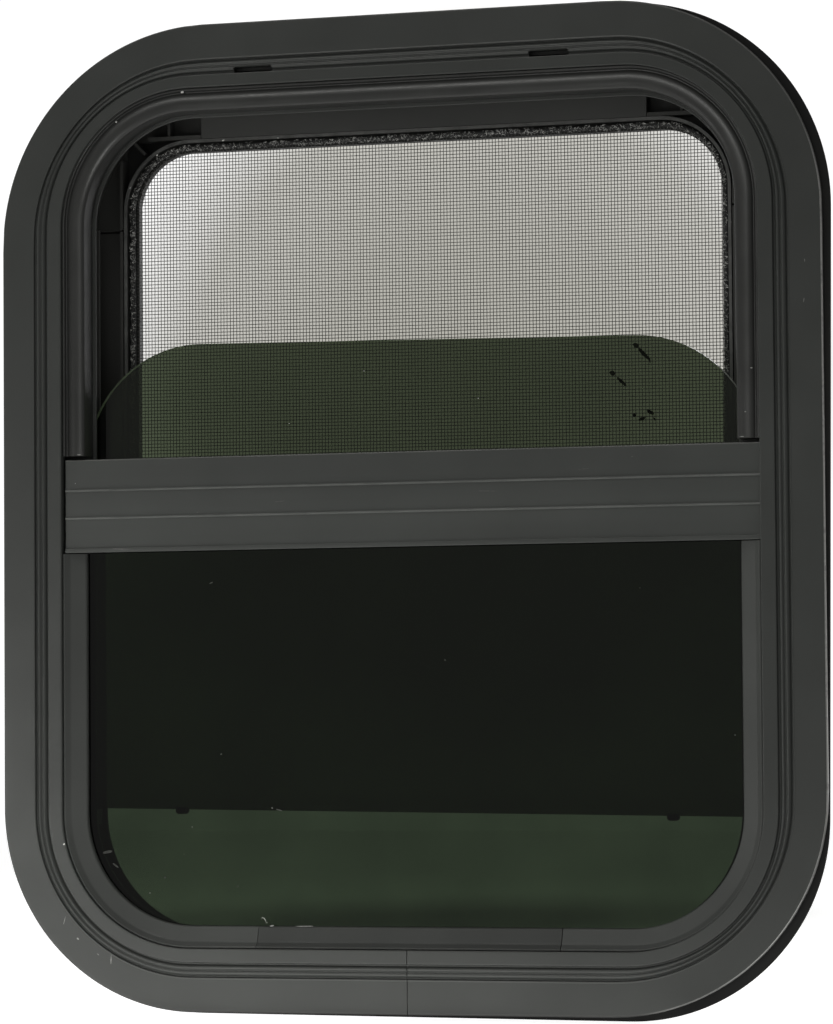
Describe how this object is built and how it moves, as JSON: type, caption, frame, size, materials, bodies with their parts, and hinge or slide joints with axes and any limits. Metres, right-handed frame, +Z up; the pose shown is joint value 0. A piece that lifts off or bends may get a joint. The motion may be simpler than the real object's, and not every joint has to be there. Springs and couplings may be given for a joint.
{
  "type": "caravan window",
  "caption": "Rounded caravan window with a black flanged frame, tinted fixed lower pane, meeting rail, drop-down tinted sash and an insect screen behind.",
  "frame": {"origin": "centre of the window on the plane of the wall seal's back face, which seats on the outer wall skin", "axes": "+X to the right seen from outside, +Y into the vehicle, +Z up"},
  "size_m": [0.3991, 0.0449, 0.4613],
  "materials": {
    "frame_coating": "fine satin black coating on extruded aluminium",
    "rail_coating": "satin black coating on extruded aluminium",
    "screen_coating": "satin black coating on extruded aluminium",
    "mill_aluminium": "mill",
    "seal_rubber": "matt",
    "bead_rubber": "dusty matt",
    "bulb_rubber": "soft sheen",
    "spline_rubber": "matt, ribbed",
    "foot_rubber": "matt",
    "pile_fabric": "woven pile",
    "track_plastic": "moulded, matt",
    "head_plastic": "matt grey-black",
    "screen_cloth": "woven insect mesh",
    "tinted_glass": "dark green tint"
  },
  "bodies": {
    "frame": {"outer_frame": "frame_coating", "frame_splice": "mill_aluminium", "wall_seal": "seal_rubber", "fixed_glass": "tinted_glass", "glazing_tape": "seal_rubber", "setting_block_left": "seal_rubber", "setting_block_right": "seal_rubber", "glazing_bead_left": "bead_rubber", "glazing_bead_right": "bead_rubber", "glazing_bead_bottom": "bead_rubber", "meeting_rail": "rail_coating", "rail_gasket": "seal_rubber", "rail_pile": "pile_fabric", "bulb_seal": "bulb_rubber", "jamb_track_left": "track_plastic", "jamb_track_right": "track_plastic", "corner_block_left": "track_plastic", "corner_block_right": "track_plastic", "head_stop": "head_plastic", "screen_frame": "screen_coating", "screen_mesh": "screen_cloth", "screen_spline": "spline_rubber"},
    "sash": {"sash_glass": "tinted_glass", "sash_foot_left": "foot_rubber", "sash_foot_right": "foot_rubber"}
  },
  "joints": [
    {"name": "sash_slide", "type": "slide", "parent": "frame", "child": "sash", "axis": [0, 0, 1], "range_m": [0, 0.113]}
  ]
}
